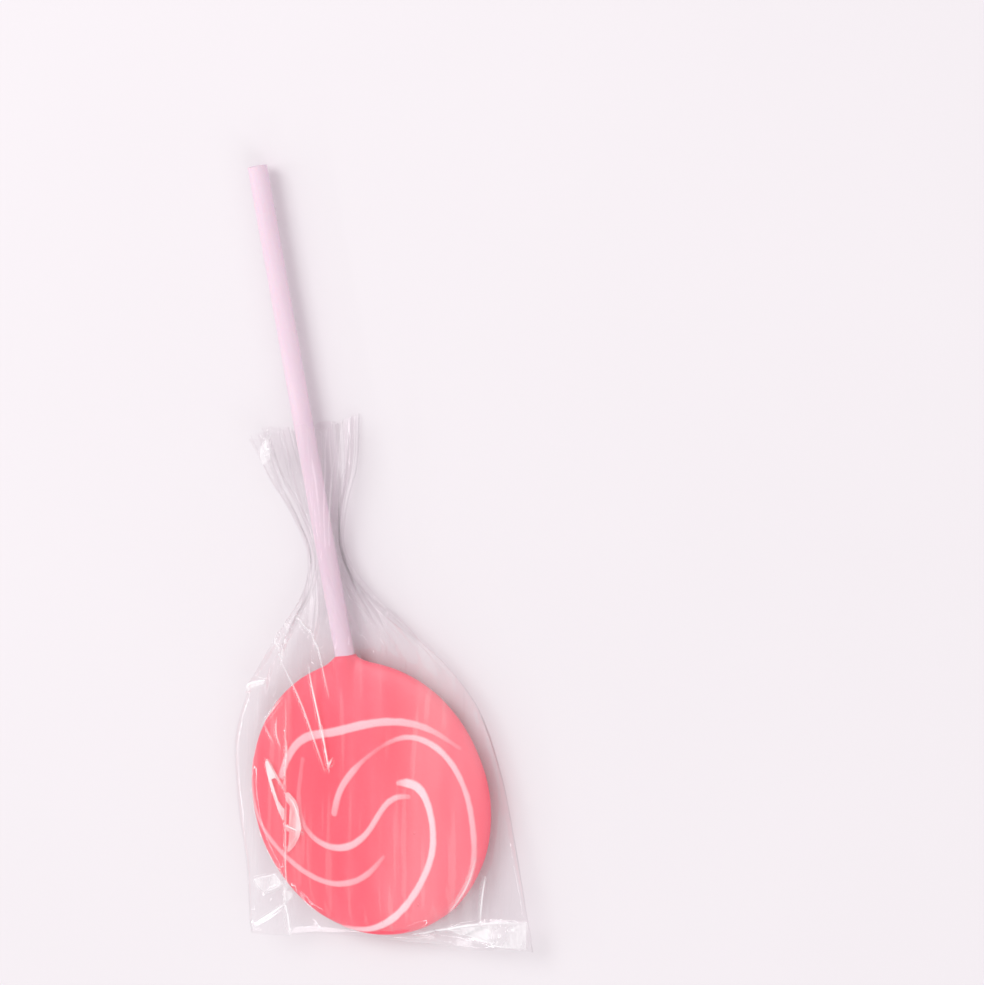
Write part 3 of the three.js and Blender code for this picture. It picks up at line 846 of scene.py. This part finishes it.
def film_material():
    """Clear film that mirrors at a slant. It is white along its creases, partly from the whitening of creased
    film and partly as painted glints, and it has painted reflections where it lies double and painted streaks
    and sheen.
    """
    shader = Shader("clear_film")
    # Along the creases the film is white, partly from the whitening of creased film and partly as a painted
    # glint
    distance = shader.math("ABSOLUTE", shader.value("crease"))
    line = shader.math("MULTIPLY", shader.step(distance, *LINE_SPAN), shader.value("crease_whitening_and_glint"))
    patchy = shader.noise(FLAP_PATCHES, 3, stretch=(1, 2.5, 1), turn=BAND_TURN)
    # Where the film lies double it is painted white in patches, a painted reflection
    flap = shader.step(shader.value("flap"), *FLAP_SPAN)
    flap = shader.math("MULTIPLY", flap, shader.value("flap_painted_reflection"))
    flap = shader.math("MULTIPLY", flap, shader.step(patchy, *FLAP_PATCH_SPAN))
    # Faint bands and fine streaks along the bag, where the film is painted whiter as painted reflections
    bands = shader.noise(BANDS, 2, stretch=(1, 14, 1), turn=BAND_TURN)
    streaks = shader.noise(STREAKS, 2, stretch=(1, 18, 1), turn=BAND_TURN)
    bands = shader.math("ADD", shader.step(bands, *BAND_SPAN), shader.step(streaks, *STREAK_SPAN))
    # A painted sheen: the film is painted whiter in a soft band over the right half of the disc
    operation = {"operation": "DOT_PRODUCT"}
    off = shader.node("ShaderNodeVectorMath", operation, i0=shader.place(), i1=SHEEN_ACROSS).outputs["Value"]
    off = shader.math("ABSOLUTE", shader.math("SUBTRACT", off, SHEEN_PLACE))
    sheen = shader.step(off, SHEEN_REACH, 0.0, 0.0, SHEEN)
    # The film's painted glints, reflections, streaks and sheen, with the whitening of its creases, all as
    # white on its face
    whitening_and_painted_light = shader.math("ADD", shader.math("MAXIMUM", line, flap), shader.math("ADD", bands, sheen))
    facing = shader.node("ShaderNodeLayerWeight", Blend=0.5).outputs["Facing"]
    slanted = shader.math("POWER", facing, MIRROR_POWER)
    mirror = shader.math("MULTIPLY_ADD", slanted, MIRROR_SLANTED, MIRROR_STRAIGHT)
    seen = shader.math("ADD", mirror, whitening_and_painted_light, clamp=True)
    wrinkles = shader.noise(WRINKLES, 4, stretch=(1, 5, 1), turn=BAND_TURN)
    roughness = shader.step(wrinkles, *NOISE_SPAN, *FILM_ROUGHNESS)
    shader.set(Base_Color=FILM_SHINE, Metallic=shader.math("DIVIDE", mirror, seen), IOR=FILM_IOR)
    shader.set(Roughness=roughness, Normal=shader.bump(wrinkles, WRINKLE_DEPTH))
    clear = shader.node("ShaderNodeBsdfTransparent", Color=FILM_CLEAR)
    blend = shader.node("ShaderNodeMixShader", i0=seen, i1=clear.outputs[0], i2=shader.surface.outputs[0])
    shader.feed(shader.output, "Surface", blend.outputs[0])
    return shader.material


def floor_material():
    shader = Shader("pale_floor")
    colour = shader.mix(shader.noise(FLOOR_CLOUDS, 3), FLOOR_DARK, FLOOR_LIGHT)
    shader.set(Base_Color=colour, Roughness=FLOOR_ROUGHNESS)
    return shader.material


def make_floor():
    mesh = bpy.data.meshes.new("floor")
    corners = [(x * FLOOR_REACH, y * FLOOR_REACH, 0) for x, y in ((-1, -1), (1, -1), (1, 1), (-1, 1))]
    mesh.from_pydata(corners, [], [(0, 1, 2, 3)])
    floor = bpy.data.objects.new("floor", mesh)
    scene.collection.objects.link(floor)
    floor.data.materials.append(floor_material())


def area_light(name, direction, distance, along, length, width, radiance):
    """A soft box that faces the disc. Direction runs from the disc to it, and its length lies along."""
    data = bpy.data.lights.new(name, "AREA")
    data.shape = "RECTANGLE"
    data.size, data.size_y = width, length
    data.energy = radiance * math.pi * width * length
    light = bpy.data.objects.new(name, data)
    backward = Vector(direction).normalized()
    sideways = Vector(along).cross(backward).normalized()
    lengthways = backward.cross(sideways)
    light.matrix_world = Matrix((sideways, lengthways, backward)).transposed().to_4x4()
    light.location = backward * distance
    scene.collection.objects.link(light)


def make_lights():
    world = bpy.data.worlds.new("studio")
    world.use_nodes = True
    background = world.node_tree.nodes["Background"]
    background.inputs["Color"].default_value = SKY_COLOUR
    background.inputs["Strength"].default_value = SKY_STRENGTH
    scene.world = world
    for light in LIGHTS:
        area_light(*light)


def make_camera():
    data = bpy.data.cameras.new("camera")
    pixels_per_metre = PIXELS_PER_RADIUS / (DISC_RADIUS * MM)
    focal_pixels = pixels_per_metre * CAMERA_DISTANCE
    data.sensor_width = SENSOR
    data.lens = SENSOR * focal_pixels / max(PHOTO_WIDTH, PHOTO_HEIGHT)
    data.clip_start, data.clip_end = NEAREST, FARTHEST
    # The level axis and the one square to it give the picture's right and up
    square_axis = TO_CAMERA.cross(LEVEL_AXIS)
    right = LEVEL_AXIS_IN_PICTURE.x * LEVEL_AXIS - LEVEL_AXIS_IN_PICTURE.y * square_axis
    up = LEVEL_AXIS_IN_PICTURE.y * LEVEL_AXIS + LEVEL_AXIS_IN_PICTURE.x * square_axis
    straight = Matrix((right, up, TO_CAMERA)).transposed()
    to_disc = Vector((
        (DISC_PIXEL[0] - PHOTO_WIDTH / 2) / focal_pixels,
        (PHOTO_HEIGHT / 2 - DISC_PIXEL[1]) / focal_pixels,
        -1,
    )).normalized()
    aside = to_disc.rotation_difference(Vector((0, 0, -1))).to_matrix()
    camera = bpy.data.objects.new("camera", data)
    camera.matrix_world = (straight @ aside).to_4x4()
    camera.location = Vector((0, 0, MIDDLE_HEIGHT * MM)) + TO_CAMERA * CAMERA_DISTANCE
    scene.collection.objects.link(camera)
    scene.camera = camera


scene.view_settings.view_transform = "Standard"
make_camera()
make_floor()
make_lights()
for make, material, node in (
    (make_candy, candy_material, "candy"),
    (make_stick, stick_material, "stick"),
    (make_film, film_material, "film"),
):
    piece = make()
    piece.data.materials.append(material())
    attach(piece, "root")
    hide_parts(node)
